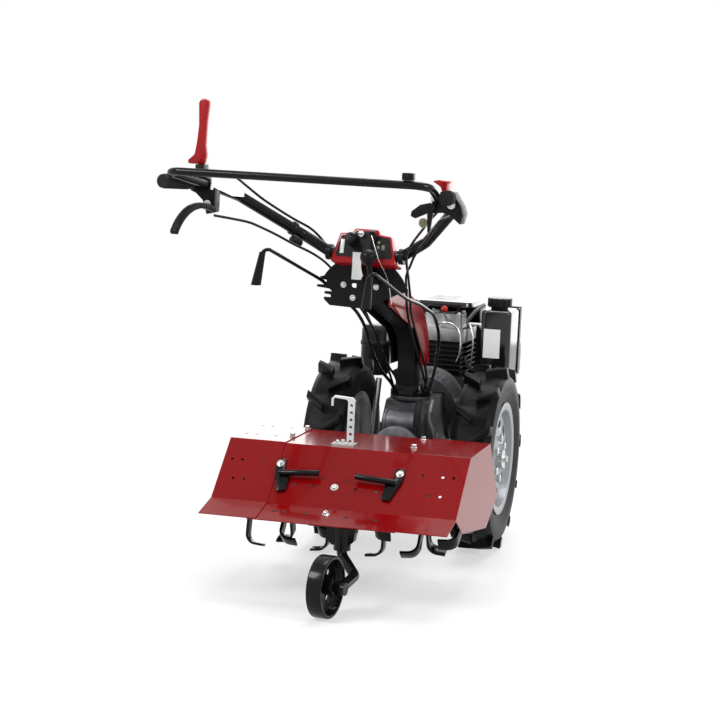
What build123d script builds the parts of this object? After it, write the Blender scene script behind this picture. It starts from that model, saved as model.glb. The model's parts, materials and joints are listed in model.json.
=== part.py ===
from build123d import *
import os
from math import cos, radians, sin, tan

os.makedirs("parts", exist_ok=True)

# Drawing frame: X to the right, Y forward, Z up, millimetres.
# The wheel axle stands over Y = 0, the wheels are even about X = 0 and the floor is Z = 0.
# Handlebar pieces are drawn straight and swung to the left about the turret when they are written.
# Depth wheel pieces are drawn straight behind their swivel and steered when they are written.

# Plan centre of the whole machine, which becomes the origin of every piece when it is written
CENTRE_X = -73.25
CENTRE_Y = -325.0

# Road wheels, 5.00-12 farm tyres
TYRE_R = 280.0
CARCASS_R = 259.0
TYRE_W = 130.0
FLANGE_R = 170.0
SEAT_R = 152.0
WHEEL_X = 226.0
LUG_COUNT = 12
DISC_X = 264.0
DISC_T = 5.0
BOLT_CIRCLE = 124.0
BOLT_R = 6.5
SHAFT_R = 17.0
HUB_R = 29.0
HUB_FLANGE_R = 78.0
FIT = 0.06

# Transmission, clutch housing and engine, all on the centre line
CASE_HALF_W = 88.0
CASE_TOP = 450.0
CASE_BOTTOM = 205.0
CASE_REAR = -160.0
CASE_FRONT = 110.0
HOUSING_END = 150.0
HITCH_Z = 392.0
HITCH_R = 30.0
CRANK_Z = 400.0
BELL_R = 122.0
BELL_FRONT = 190.0
BOSS_X = CASE_HALF_W + 18
BLOCK_FRONT = 390.0
CYLINDER_X = 20.0
CYLINDER_Y = 300.0
PTO_Z = 318.0
PTO_END = -215.0

# Handlebar turret and column
PIVOT_Y = -60.0
SWING = -4.1
TURRET_R = 62.0
TURRET_Z = 462.0
TURRET_GAP = 0.3
TURRET_TOP = 496.0
COLUMN_Y = -95.0
COLUMN_CORNER_Z = 673.0
COLUMN_SLOPE = 20.0
COLUMN_BEND = 160.0
COLUMN_LENGTH = 405.0
COLUMN_W = 56.0
COLUMN_D = 58.0
COVER_W = 96.0
COVER_D = 80.0
COVER_FOOT = 560.0
SHEET = 3.0

# Handlebar tubes, right side, before the swing
BAR_R = 15.5
BAR_ROUTE = [(105, -548, 915), (182, -575, 962), (307, -742, 1066), (340, -900, 1104), (384, -1085, 1112)]
BAR_BEND = 45.0
GRIP_R = 18.0
GRIP_LEN = 125.0
LOOP_R = 10.5
LOOP_X = 358.0
LOOP_Y = -1145.0
LOOP_Z = 1142.0
LOOP_END = (318, -935, 1100)
CABLE_R = 3.5
ROD_R = 5.0

# Tiller
TILLER_X = -22.0
HOOD_W = 685.0
HOOD_T = 2.5
HOOD_OUTLINE = [(-415, 389), (-685, 389), (-842, 246), (-947, 222)]
SIDE_OUTLINE = [(-415, 389), (-274, 214), (-421, 149), (-741, 192), (-842, 246), (-685, 389)]
SEAM_LEFT = -205.0
SEAM_RIGHT = 156.0
LAP = 24.0
HOLE_R = 4.5
TOP_ROWS = (-445.0, -600.0)
TOP_HOLES = [-345.0, -316.0, -258.0, 214.0, 272.0, 301.0]
PANEL_HIGH = [-340.0, -311.0, -253.0, 199.0, 257.0, 287.0]
PANEL_LOW = [-321.0, -290.0, -146.0, -89.0, 28.0, 86.0, 233.0, 262.0]
ROTOR_Y = -560.0
ROTOR_Z = 220.0
BLADE_R = 152.0
BLADE_W = 34.0
BLADE_T = 7.0
BLADE_REACH = 45.0
ROTOR_SHAFT_R = 20.0
ROTOR_HALF = 318.0
GEAR_CASE_W = 44.0

# Depth wheel and its castor
CASTOR_X = 27.0
CASTOR_Y = -903.0
STEER = -8.0
TRAIL = 147.0
DEPTH_X = CASTOR_X + 20.0
DEPTH_R = 83.0
DEPTH_W = 42.0
PIN_R = 14.0

FIXED = Location((-CENTRE_X, -CENTRE_Y, 0))


def turned(x, y, angle):
    """Where a piece goes that is turned by an angle about an upright line through x, y."""
    return FIXED * Location((x, y, 0)) * Location((0, 0, 0), (0, 0, angle)) * Location((-x, -y, 0))


SWUNG = turned(0, PIVOT_Y, SWING)
STEERED = turned(CASTOR_X, CASTOR_Y, STEER)


def save(piece, label, place=FIXED):
    """Put a finished piece where it stands on the machine, name it and write it."""
    piece.part.label = label
    placed = piece.part.moved(place)
    placed.label = label
    export_step(placed, f"parts/{label}.step")


def rod_along(points, radius, bends):
    """A round rod or tube along straight runs that are joined by bends."""
    with BuildPart() as rod:
        with BuildLine() as route:
            FilletPolyline(*points, radius=bends)
        with BuildSketch(Plane(origin=route.line @ 0, z_dir=route.line % 0)):
            Circle(radius)
        sweep(path=route.line)
    return rod


def cable_along(points, radius):
    """A cable whose bends are each as large as the runs beside them allow."""
    corners = [Vector(*point) for point in points]
    runs = [end - start for start, end in zip(corners, corners[1:])]
    bends = []
    for before, after in zip(runs, runs[1:]):
        turn = radians(before.get_angle(after))
        bends.append(0.45 * min(before.length, after.length) / tan(turn / 2))
    return rod_along(points, radius, bends)


def both_sides(points):
    """The whole width of a route that is given for its right half, from the middle outwards."""
    left = [(-x, y, z) for x, y, z in reversed(points)]
    return left + points


def straight(start, end, radius):
    """A round bar between two points."""
    way = Vector(*end) - Vector(*start)
    with BuildPart() as rod:
        with BuildSketch(Plane(origin=start, z_dir=way)):
            Circle(radius)
        extrude(amount=way.length)
    return rod


# Road wheels
def tyre():
    """Farm tyre with chevron lugs: a round carcass, and bars cut to the tyre's outer form."""
    half = TYRE_W / 2
    with BuildPart() as bars:
        for row in (1, -1):
            with BuildSketch(Plane.XY.offset(TYRE_R + 6)):
                with BuildLine():
                    Polyline((row * 2, 0), (row * half, 46), (row * half, 70), (row * 2, 26), close=True)
                make_face()
            extrude(amount=-44)
    with BuildPart() as tread:
        for number in range(LUG_COUNT):
            turn = 360 / LUG_COUNT * number
            for row in (0, 1):
                half_turn = turn + row * 180 / LUG_COUNT
                add(bars.part.solids().sort_by(Axis.X)[row].moved(Location((0, 0, 0), (half_turn, 0, 0))))
        with BuildSketch(Plane.XZ):
            with BuildLine():
                Polyline((-half, 220), (-half + 8, TYRE_R), (half - 8, TYRE_R), (half, 220), close=True)
            make_face()
        revolve(axis=Axis.X, mode=Mode.INTERSECT)
    with BuildPart() as whole:
        with BuildSketch(Plane.XZ):
            with BuildLine():
                Polyline((-48, SEAT_R), (-50, FLANGE_R + 4), (-half + 3, 205), (-half + 6, 244),
                         (-half + 24, CARCASS_R), (half - 24, CARCASS_R), (half - 6, 244), (half - 3, 205),
                         (50, FLANGE_R + 4), (48, SEAT_R), close=True)
            make_face()
        revolve(axis=Axis.X)
        add(tread.part)
    return whole


tyre_piece = tyre()
for name, side in (("left", -1), ("right", 1)):
    wheel_place = FIXED * Location((side * WHEEL_X, 0, TYRE_R))
    save(tyre_piece, f"tyre_{name}", wheel_place)

    # Rolled rim with a dished disc, slotted near the rim and bored for the hub's bolts
    disc_x = side * (DISC_X - WHEEL_X)
    with BuildPart() as rim:
        with BuildSketch(Plane.XZ):
            with BuildLine():
                Polyline((-54, FLANGE_R), (-51, FLANGE_R), (-48, SEAT_R), (-22, SEAT_R), (-16, 132),
                         (16, 132), (22, SEAT_R), (48, SEAT_R), (51, FLANGE_R), (54, FLANGE_R),
                         (52, SEAT_R - 4), (25, SEAT_R - 4), (19, 128), (-19, 128), (-25, SEAT_R - 4),
                         (-52, SEAT_R - 4), close=True)
            make_face()
            with BuildLine():
                Polyline((disc_x - side * 9, SEAT_R - 3), (disc_x, 118), (disc_x, HUB_R),
                         (disc_x - side * DISC_T, HUB_R), (disc_x - side * DISC_T, 116),
                         (disc_x - side * 15, SEAT_R - 3), close=True)
            make_face()
        revolve(axis=Axis.X)
        with BuildSketch(Plane.YZ.offset(disc_x + side * 4)):
            with PolarLocations(104, 8):
                SlotOverall(46, 22, rotation=90)
            with PolarLocations(BOLT_CIRCLE / 2, 6, start_angle=30):
                Circle(BOLT_R)
        extrude(amount=side * -24, mode=Mode.SUBTRACT)
    save(rim, f"rim_{name}", wheel_place)

    with BuildPart() as shaft:
        with BuildSketch(Plane.YZ.offset(side * 60)):
            Circle(SHAFT_R)
        extrude(amount=side * 95)
        with BuildSketch(Plane.YZ.offset(side * 155)):
            Circle(HUB_R - 1)
        extrude(amount=side * (DISC_X + 18 - 155))
        with BuildSketch(Plane.YZ.offset(side * (DISC_X - DISC_T))):
            Circle(HUB_FLANGE_R)
            with PolarLocations(BOLT_CIRCLE / 2, 6, start_angle=30):
                Circle(BOLT_R, mode=Mode.SUBTRACT)
        extrude(amount=side * -8)
    save(shaft, f"half_shaft_{name}", FIXED * Location((0, 0, TYRE_R)))


# Transmission case with its axle housings, the power take-off nose and the hitch tube across the back
with BuildPart() as case:
    with BuildSketch(Plane.YZ.offset(-CASE_HALF_W)):
        with BuildLine():
            Polyline((CASE_REAR, 262), (CASE_REAR, 390), (CASE_REAR + 50, CASE_TOP), (CASE_FRONT, CASE_TOP),
                     (CASE_FRONT, 250), (50, CASE_BOTTOM), (-70, CASE_BOTTOM), close=True)
        make_face()
        fillet(vertices(), 18)
    extrude(amount=2 * CASE_HALF_W)
    for plane_x, radius in ((HOUSING_END, 46), (BOSS_X, 66)):
        with BuildSketch(Plane.YZ.offset(-plane_x)):
            with Locations((0, TYRE_R)):
                Circle(radius)
        extrude(amount=2 * plane_x)
    with BuildSketch(Plane.XZ.offset(-CASE_REAR)):
        with Locations((0, PTO_Z)):
            Circle(58)
    extrude(amount=CASE_REAR - PTO_END)
    with BuildSketch(Plane.YZ.offset(-50)):
        with Locations((CASE_REAR + 8, HITCH_Z)):
            Circle(HITCH_R)
    extrude(amount=88)
    with BuildSketch(Plane.XY.offset(CASE_TOP)):
        with Locations((0, PIVOT_Y)):
            Circle(TURRET_R)
    extrude(amount=TURRET_Z - CASE_TOP)
    with BuildSketch(Plane.XZ.offset(-CASE_FRONT)):
        with Locations((0, CRANK_Z - 60)):
            RectangleRounded(212, 230, 24)
    extrude(amount=14)
    for side in (-1, 1):
        with BuildSketch(Plane.YZ.offset(side * HOUSING_END)):
            with Locations((0, TYRE_R)):
                Circle(SHAFT_R + FIT)
        extrude(amount=-side * (HOUSING_END - 58), mode=Mode.SUBTRACT)
save(case, "transmission_case")

with BuildPart() as bell:
    with BuildSketch(Plane.YZ):
        with BuildLine():
            Polyline((CASE_FRONT, CRANK_Z), (CASE_FRONT, CRANK_Z + 98),
                     (CASE_FRONT + 58, CRANK_Z + BELL_R - 8), (CASE_FRONT + 66, CRANK_Z + BELL_R),
                     (BELL_FRONT, CRANK_Z + BELL_R), (BELL_FRONT, CRANK_Z), close=True)
        make_face()
    revolve(axis=Axis((0, 0, CRANK_Z), (0, 1, 0)))
save(bell, "clutch_housing")

# Upright stay on the left, from the transmission to the engine plate
STAY_TOP = (-104, -50, 503)
STAY_FOOT = (-117, -50, 311)
with BuildPart() as link_rod:
    add(straight(STAY_FOOT, STAY_TOP, 9).part)
    with BuildSketch(Plane.YZ.offset(STAY_FOOT[0])):
        with Locations(STAY_FOOT[1:]):
            Circle(11)
    extrude(amount=-STAY_FOOT[0] - BOSS_X)
save(link_rod, "link_rod")

# Engine: crankcase with its timing cover, sump foot and oil filler
with BuildPart() as block:
    with BuildSketch(Plane.XZ.offset(-BELL_FRONT)):
        with BuildLine():
            Polyline((-120, 300), (-120, 440), (-85, 490), (105, 490), (130, 450), (130, 310),
                     (95, 268), (-90, 268), close=True)
        make_face()
        fillet(vertices(), 16)
    extrude(amount=BELL_FRONT - BLOCK_FRONT)
    with BuildSketch(Plane.YZ.offset(130)):
        with Locations((CYLINDER_Y, 388)):
            RectangleRounded(150, 110, 30)
    extrude(amount=12)
    with BuildSketch(Plane.XY.offset(268)):
        with Locations((0, CYLINDER_Y)):
            RectangleRounded(170, 150, 10)
    extrude(amount=-14)
    with BuildSketch(Plane(origin=(-100, 232, 470), z_dir=(-0.5, 0, 0.866))):
        Circle(17)
    extrude(amount=34)
save(block, "engine_crankcase")

with BuildPart() as cylinder:
    with BuildSketch(Plane.XY.offset(490)):
        with Locations((CYLINDER_X, CYLINDER_Y)):
            RectangleRounded(120, 122, 20)
    extrude(amount=108)
    for fin in range(6):
        with BuildSketch(Plane.XY.offset(506 + fin * 15)):
            with Locations((CYLINDER_X, CYLINDER_Y)):
                RectangleRounded(170, 164, 12)
        extrude(amount=4)
save(cylinder, "engine_cylinder")

with BuildPart() as head:
    with BuildSketch(Plane.XY.offset(598)):
        with Locations((CYLINDER_X, CYLINDER_Y)):
            RectangleRounded(168, 160, 14)
    extrude(amount=40)
    with BuildSketch(Plane.XY.offset(638)):
        with Locations((CYLINDER_X, CYLINDER_Y - 14)):
            RectangleRounded(124, 96, 14)
    extrude(amount=44, taper=4)
    with BuildSketch(Plane.XY.offset(682)):
        with Locations((-5, 250)):
            Circle(14)
    extrude(amount=10)
save(head, "cylinder_head")

# Flywheel shroud with its air intake and the recoil starter in front of it
with BuildPart() as shroud:
    with BuildSketch(Plane.XZ.offset(-BLOCK_FRONT)):
        with Locations((0, CRANK_Z)):
            Circle(150)
        with Locations((CYLINDER_X, CRANK_Z + 145)):
            RectangleRounded(196, 180, 24)
    extrude(amount=-62)
    with BuildSketch(Plane.XZ.offset(-BLOCK_FRONT - 62)):
        with Locations((0, CRANK_Z)):
            Circle(124)
    extrude(amount=-13)
save(shroud, "fan_shroud")

STARTER_Y = BLOCK_FRONT + 75
with BuildPart() as starter:
    with BuildSketch(Plane.XZ.offset(-STARTER_Y)):
        with Locations((0, CRANK_Z)):
            Circle(112)
    extrude(amount=-38, taper=8)
    with BuildSketch(Plane.XZ.offset(-STARTER_Y - 38)):
        with Locations((0, CRANK_Z)):
            Circle(62)
    extrude(amount=-22, taper=18)
    with BuildSketch(Plane.XZ.offset(-STARTER_Y - 60)):
        with Locations((0, CRANK_Z)):
            with PolarLocations(82, 12):
                SlotOverall(34, 10)
    extrude(amount=44, mode=Mode.SUBTRACT)
save(starter, "recoil_starter")

# Oval exhaust box under the top tray, with its pipe out of the head
with BuildPart() as muffler:
    with BuildSketch(Plane.YZ.offset(-92)):
        with Locations((420, 672)):
            SlotOverall(96, 58)
    extrude(amount=204)
    with BuildSketch(Plane.XZ.offset(-350)):
        with Locations((60, 652)):
            Rectangle(34, 28)
    extrude(amount=-45)
    with BuildSketch(Plane.YZ.offset(-92)):
        with Locations((430, 672)):
            Circle(12)
    extrude(amount=-32)
save(muffler, "muffler")

with BuildPart() as tray:
    with BuildSketch(Plane.XY.offset(706)):
        with Locations((15, 340)):
            RectangleRounded(200, 240, 34)
    extrude(amount=16, taper=14)
    with BuildSketch(Plane.XY.offset(722)):
        with Locations((0, 340)):
            with GridLocations(0, 34, 1, 5):
                SlotOverall(96, 12)
    extrude(amount=-5, mode=Mode.SUBTRACT)
    for post_x, post_y, drop in ((-30, 262, 24), (66, 262, 24), (-30, 440, 5), (60, 440, 5)):
        with BuildSketch(Plane.XY.offset(706)):
            with Locations((post_x, post_y)):
                Circle(6)
        extrude(amount=-drop)
save(tray, "top_cowl")

# Air cleaner canister on the left with its intake elbow
with BuildPart() as cleaner:
    with BuildSketch(Plane.XZ):
        with BuildLine():
            Polyline((0, 467), (40, 467), (47, 478), (47, 560), (50, 562), (50, 574), (47, 576), (47, 612),
                     (36, 626), (0, 626), close=True)
        make_face()
    revolve(axis=Axis.Z)
CLEANER_PLACE = Location((-206, CYLINDER_Y, 0))
save(cleaner, "air_cleaner", FIXED * CLEANER_PLACE)

with BuildPart() as elbow:
    with BuildSketch(Plane.YZ.offset(-64)):
        with Locations((CYLINDER_Y, 616)):
            Circle(17)
    extrude(amount=-58)
    with BuildSketch(Plane.YZ.offset(-122)):
        with Locations((CYLINDER_Y, 602)):
            RectangleRounded(52, 62, 12)
    extrude(amount=-51)
    add(cleaner.part.moved(CLEANER_PLACE), mode=Mode.SUBTRACT)
save(elbow, "intake_duct")

# Fuel tank on the right, with its cap, the angle that carries it and the strap over it
with BuildPart() as tank:
    with BuildSketch(Plane.XY.offset(500)):
        with Locations((197, 310)):
            RectangleRounded(95, 220, 18)
    extrude(amount=206)
    chamfer(tank.edges().group_by(Axis.Z)[-1], 6)
save(tank, "fuel_tank")

with BuildPart() as cap:
    with BuildSketch(Plane.XY.offset(706)):
        with Locations((198, 252)):
            Circle(27)
    extrude(amount=10)
    with BuildSketch(Plane.XY.offset(716)):
        with Locations((198, 252)):
            Circle(38)
            with PolarLocations(39, 12):
                Circle(4, mode=Mode.SUBTRACT)
    extrude(amount=26)
save(cap, "tank_cap")

with BuildPart() as tank_bracket:
    with BuildSketch(Plane.XZ.offset(-225)):
        with BuildLine():
            Polyline((148, 360), (148, 440), (158, 494), (246, 494), (246, 500), (153, 500), (142, 440),
                     (142, 360), close=True)
        make_face()
    extrude(amount=-160)
    with BuildSketch(Plane.XZ.offset(-345)):
        with BuildLine():
            Polyline((244.5, 500), (244.5, 706), (148, 706), (148, 500), (145, 500), (145, 709),
                     (247.5, 709), (247.5, 500), close=True)
        make_face()
    extrude(amount=-24)
    add(tank.part, mode=Mode.SUBTRACT)
save(tank_bracket, "tank_bracket")

# Tiller: coupling, gear case, hood and wings
with BuildPart() as coupling:
    with BuildSketch(Plane.XZ.offset(-PTO_END)):
        with Locations((0, PTO_Z)):
            Circle(70)
    extrude(amount=30)
save(coupling, "implement_coupling")

CASE_NOSE_Y = PTO_END - 30
PAD_TOP = HOOD_OUTLINE[0][1] - HOOD_T
with BuildPart() as gear_case:
    with BuildSketch(Plane.YZ.offset(TILLER_X - GEAR_CASE_W / 2)):
        with BuildLine():
            Polyline((CASE_NOSE_Y, PTO_Z - 48), (CASE_NOSE_Y, PTO_Z + 48), (-480, 352), (-610, 262),
                     (-610, ROTOR_Z - 30), (-530, ROTOR_Z - 30), close=True)
        make_face()
        fillet(vertices(), 14)
        with Locations((ROTOR_Y, ROTOR_Z)):
            Circle(50)
    extrude(amount=GEAR_CASE_W)
    with BuildSketch(Plane.YZ.offset(TILLER_X - 62)):
        with BuildLine():
            Polyline((-430, PAD_TOP), (-545, PAD_TOP), (-545, PAD_TOP - 8), (-430, PAD_TOP - 8), close=True)
        make_face()
    extrude(amount=124)
    with BuildSketch(Plane.YZ.offset(TILLER_X - GEAR_CASE_W / 2)):
        with BuildLine():
            Polyline((-435, PAD_TOP - 8), (-530, PAD_TOP - 8), (-500, 322), (-460, 322), close=True)
        make_face()
    extrude(amount=GEAR_CASE_W)
    with BuildSketch(Plane.YZ.offset(TILLER_X - GEAR_CASE_W)):
        with Locations((ROTOR_Y, ROTOR_Z)):
            Circle(ROTOR_SHAFT_R + FIT)
    extrude(amount=2 * GEAR_CASE_W, mode=Mode.SUBTRACT)
save(gear_case, "tiller_gear_case")

# The bent sheet of the hood falls from its top through a sloping panel to a lip
PANEL_TOP = HOOD_OUTLINE[1]
PANEL_FOOT = HOOD_OUTLINE[2]
panel_run = Vector(0, PANEL_FOOT[0] - PANEL_TOP[0], PANEL_FOOT[1] - PANEL_TOP[1]).normalized()
PANEL = Plane(origin=(0, *PANEL_TOP), x_dir=(1, 0, 0), z_dir=(0, panel_run.Z, -panel_run.Y))
TOP = Plane.XY.offset(HOOD_OUTLINE[0][1])
HOLE_ROWS = [(TOP, TOP_ROWS[0], TOP_HOLES), (TOP, TOP_ROWS[1], TOP_HOLES),
             (PANEL, -73.0, PANEL_HIGH), (PANEL, -139.0, PANEL_LOW)]


def hood_section(x_from, x_to, layer):
    """The bent sheet of the hood between two places across the machine, on or under the hood's outline."""
    with BuildPart() as sheet:
        with BuildSketch(Plane.YZ.offset(x_from)):
            with BuildLine():
                Polyline(*HOOD_OUTLINE)
                offset(amount=HOOD_T, side=layer, closed=True)
            make_face()
        extrude(amount=x_to - x_from)
        for plane, across, places in HOLE_ROWS:
            held = [(x, across) for x in places if x_from < x - HOLE_R and x + HOLE_R < x_to]
            if held:
                with BuildSketch(plane):
                    with Locations(*held):
                        Circle(HOLE_R)
                extrude(amount=2 * HOOD_T, both=True, mode=Mode.SUBTRACT)
    return sheet


HOOD_LEFT = TILLER_X - HOOD_W / 2
HOOD_RIGHT = TILLER_X + HOOD_W / 2
save(hood_section(SEAM_LEFT - LAP, SEAM_RIGHT + LAP, Side.LEFT), "tiller_hood")

for name, side, outer, seam in (("left", -1, HOOD_LEFT, SEAM_LEFT), ("right", 1, HOOD_RIGHT, SEAM_RIGHT)):
    with BuildPart() as wing:
        add(hood_section(min(outer, seam), max(outer, seam), Side.RIGHT).part)
        with BuildSketch(Plane.YZ.offset(outer)):
            with BuildLine():
                Polyline(*SIDE_OUTLINE, close=True)
            make_face()
        extrude(amount=-side * HOOD_T)
    save(wing, f"hood_wing_{name}")

# Latches that hold the rear panel: an angled plate, its two bolts and a handle that points inwards
with BuildPart() as latches:
    for hinge_x, side in ((-198.0, 1), (140.0, -1)):
        with BuildSketch(PANEL.offset(HOOD_T)):
            with BuildLine():
                Polyline((hinge_x - side * 10, -62), (hinge_x + side * 12, -62),
                         (hinge_x + side * 16, -104), (hinge_x + side * 34, -116),
                         (hinge_x + side * 34, -168), (hinge_x + side * 12, -172),
                         (hinge_x - side * 10, -104), close=True)
            make_face()
        extrude(amount=6)
    for hinge_x, side in ((-198.0, 1), (140.0, -1)):
        start = PANEL.from_local_coords((hinge_x + side * 6, -116, HOOD_T + 13))
        end = PANEL.from_local_coords((hinge_x + side * 118, -109, HOOD_T + 17))
        with BuildSketch(Plane(origin=start, z_dir=end - start)):
            Circle(8)
        extrude(amount=(end - start).length)
save(latches, "hood_latches")

# Perforated bar that sets the depth, standing on the hood with its top bent over to the left
with BuildPart() as depth_bar:
    with BuildSketch(Plane.XZ.offset(650)):
        with BuildLine():
            Polyline((-20, 389), (-20, 515), (-27, 524), (-80, 527), (-88, 519), (-88, 498), (-82, 498),
                     (-82, 517), (-78, 521), (-44, 518), (-40, 512), (-40, 389), close=True)
        make_face()
        with Locations((-30, 452)):
            with GridLocations(0, 20, 1, 6):
                Circle(4.5, mode=Mode.SUBTRACT)
    extrude(amount=-7)
    with BuildSketch(Plane.XY.offset(389)):
        with Locations((-48, -640)):
            Rectangle(64, 42)
    extrude(amount=6)
save(depth_bar, "depth_adjust_bar")


# Tiller rotor: one shaft, a flange at each station and curved blades bolted round it
def blade_to(hand):
    """One curved blade that stands up from the shaft's line and bends over to a side."""
    with BuildPart() as blade:
        with BuildSketch(Plane.XZ.offset(-BLADE_W / 2)):
            with BuildLine():
                FilletPolyline((0, 30), (0, BLADE_R - 10), (hand * BLADE_REACH, BLADE_R - 6), radius=24)
                offset(amount=BLADE_T, side=Side.LEFT if hand > 0 else Side.RIGHT, closed=True)
            make_face()
        extrude(amount=BLADE_W)
    return blade.part


BLADES = {1: blade_to(1), -1: blade_to(-1)}
STATIONS = [(-312, 12, 1, True), (-198, 40, 1, False), (-82, 0, -1, False),
            (82, 5, -1, False), (198, 35, -1, False), (312, 60, -1, True)]
with BuildPart() as rotor:
    with BuildSketch(Plane.YZ.offset(TILLER_X - ROTOR_HALF)):
        with Locations((ROTOR_Y, ROTOR_Z)):
            Circle(ROTOR_SHAFT_R)
    extrude(amount=2 * ROTOR_HALF)
    for station, first, hand, inward in STATIONS:
        with BuildSketch(Plane.YZ.offset(TILLER_X + station - 4)):
            with Locations((ROTOR_Y, ROTOR_Z)):
                RegularPolygon(60, 6, rotation=first)
        extrude(amount=8)
        for number in range(0, 6, 2 if inward else 1):
            way = hand if inward or number % 2 == 0 else -hand
            turn = 180 - first - 60 * number
            add(BLADES[way].moved(Location((TILLER_X + station + 4 * way, ROTOR_Y, ROTOR_Z), (turn, 0, 0))))
save(rotor, "tiller_rotor")

# Depth wheel: a strap under the hood's rear, the swivel socket, a castor strut and the wheel
with BuildPart() as bracket:
    for inner, mode in ((HOOD_T + 6, Mode.ADD), (HOOD_T, Mode.SUBTRACT)):
        with BuildSketch(Plane.YZ.offset(CASTOR_X - 87)):
            with BuildLine():
                Polyline((-785, 337.2 - 38), PANEL_FOOT, (-938, 246 - 96 * 24 / 105))
                offset(amount=inner, side=Side.LEFT, closed=True)
            make_face()
        extrude(amount=132, mode=mode)
    with BuildSketch(Plane.XY.offset(152)):
        with Locations((CASTOR_X, CASTOR_Y)):
            Circle(PIN_R + 9)
    extrude(amount=70)
    with BuildSketch(Plane.XZ.offset(-CASTOR_Y + 14)):
        with BuildLine():
            Polyline((CASTOR_X - 44, 225), (CASTOR_X + 41, 225), (CASTOR_X + 34, 178), (CASTOR_X + 20, 166),
                     (CASTOR_X - 26, 166), (CASTOR_X - 40, 180), close=True)
        make_face()
    extrude(amount=-28)
    with BuildSketch(Plane.XY.offset(140)):
        with Locations((CASTOR_X, CASTOR_Y)):
            Circle(PIN_R + FIT)
    extrude(amount=78, mode=Mode.SUBTRACT)
    add(hood_section(SEAM_LEFT, SEAM_RIGHT, Side.LEFT).part, mode=Mode.SUBTRACT)
save(bracket, "depth_wheel_bracket")

ARM_X = DEPTH_X + DEPTH_W / 2 + 22
HUB_Y = CASTOR_Y - TRAIL
with BuildPart() as strut:
    add(rod_along([(CASTOR_X, CASTOR_Y, 214), (CASTOR_X, CASTOR_Y, 138), (CASTOR_X + 58, CASTOR_Y - 43, 97),
                   (ARM_X, HUB_Y, DEPTH_R)], PIN_R, 20).part)
    with BuildSketch(Plane.YZ.offset(ARM_X + PIN_R)):
        with Locations((HUB_Y, DEPTH_R)):
            Circle(PIN_R + 3)
    extrude(amount=-2 * PIN_R)
    with BuildSketch(Plane.YZ.offset(ARM_X)):
        with Locations((HUB_Y, DEPTH_R)):
            Circle(8)
    extrude(amount=-DEPTH_W - 32)
save(strut, "depth_wheel_strut", STEERED)

with BuildPart() as depth_wheel:
    with BuildSketch(Plane.XZ):
        with BuildLine():
            Polyline((-21, 8 + FIT), (-21, 17), (-7, 20), (-5, 68), (-21, 74), (-21, DEPTH_R - 2),
                     (-18, DEPTH_R), (18, DEPTH_R), (21, DEPTH_R - 2), (21, 74), (-1, 68), (-3, 20),
                     (24, 17), (24, 8 + FIT), close=True)
        make_face()
    revolve(axis=Axis.X)
    with BuildSketch(Plane.YZ):
        with PolarLocations(40, 6):
            Circle(8)
    extrude(amount=24, both=True, mode=Mode.SUBTRACT)
save(depth_wheel, "depth_wheel", STEERED * Location((DEPTH_X, HUB_Y, DEPTH_R)))

# Turret and column
with BuildPart() as turret:
    with BuildSketch(Plane.XY.offset(TURRET_Z + TURRET_GAP)):
        with Locations((0, PIVOT_Y)):
            Circle(TURRET_R)
    extrude(amount=14)
    with BuildSketch(Plane.XY.offset(TURRET_Z + TURRET_GAP + 14)):
        with Locations((0, COLUMN_Y + 10)):
            RectangleRounded(72, 66, 8)
    extrude(amount=TURRET_TOP - TURRET_Z - TURRET_GAP - 14)
save(turret, "turret", SWUNG)


def column_route(d=0, top=0):
    """Side view corners of the column's line, moved d towards the front, from the turret to the top end."""
    slope = radians(COLUMN_SLOPE)
    corner_z = COLUMN_CORNER_Z + d * (1 - sin(slope)) / cos(slope)
    end_y = COLUMN_Y - (COLUMN_LENGTH + top) * cos(slope) + d * sin(slope)
    end_z = COLUMN_CORNER_Z + (COLUMN_LENGTH + top) * sin(slope) + d * cos(slope)
    return [(COLUMN_Y + d, TURRET_TOP), (COLUMN_Y + d, corner_z), (end_y, end_z)]


with BuildPart() as column:
    with BuildSketch(Plane.YZ.offset(-COLUMN_W / 2)):
        with BuildLine():
            FilletPolyline(*column_route(), radius=COLUMN_BEND)
        trace(line_width=COLUMN_D)
    extrude(amount=COLUMN_W)
save(column, "column", SWUNG)

with BuildPart() as cover:
    for side in (-1, 1):
        with BuildSketch(Plane.YZ.offset(side * COVER_W / 2)):
            with BuildLine():
                FilletPolyline(*column_route(4, -20), radius=COLUMN_BEND + 4)
            trace(line_width=COVER_D)
            with Locations((COLUMN_Y, COVER_FOOT - 60)):
                Rectangle(200, 120, mode=Mode.SUBTRACT)
        extrude(amount=-side * SHEET)
    with BuildSketch(Plane.YZ.offset(-COVER_W / 2)):
        with BuildLine():
            FilletPolyline(*column_route(4 + COVER_D / 2, -20), radius=COLUMN_BEND + 4 + COVER_D / 2)
        trace(line_width=SHEET)
        with Locations((COLUMN_Y, COVER_FOOT - 60)):
            Rectangle(200, 120, mode=Mode.SUBTRACT)
    extrude(amount=COVER_W)
save(cover, "column_cover", SWUNG)

# Handlebar tubes, grips and the safety bar
bar = rod_along(both_sides(BAR_ROUTE), BAR_R, BAR_BEND)
save(bar, "handlebar_tubes", SWUNG)

with BuildPart() as grips:
    start = Vector(*BAR_ROUTE[-2])
    end = Vector(*BAR_ROUTE[-1])
    way = (end - start).normalized()
    with BuildSketch(Plane(origin=end + way * 4, z_dir=way * -1)):
        Circle(GRIP_R)
    extrude(amount=GRIP_LEN)
    mirror(about=Plane.YZ)
    add(bar.part, mode=Mode.SUBTRACT)
save(grips, "grips", SWUNG)

loop = rod_along(both_sides([(LOOP_X, LOOP_Y, LOOP_Z), LOOP_END]), LOOP_R, 40)
save(loop, "safety_bar", SWUNG)

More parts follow.
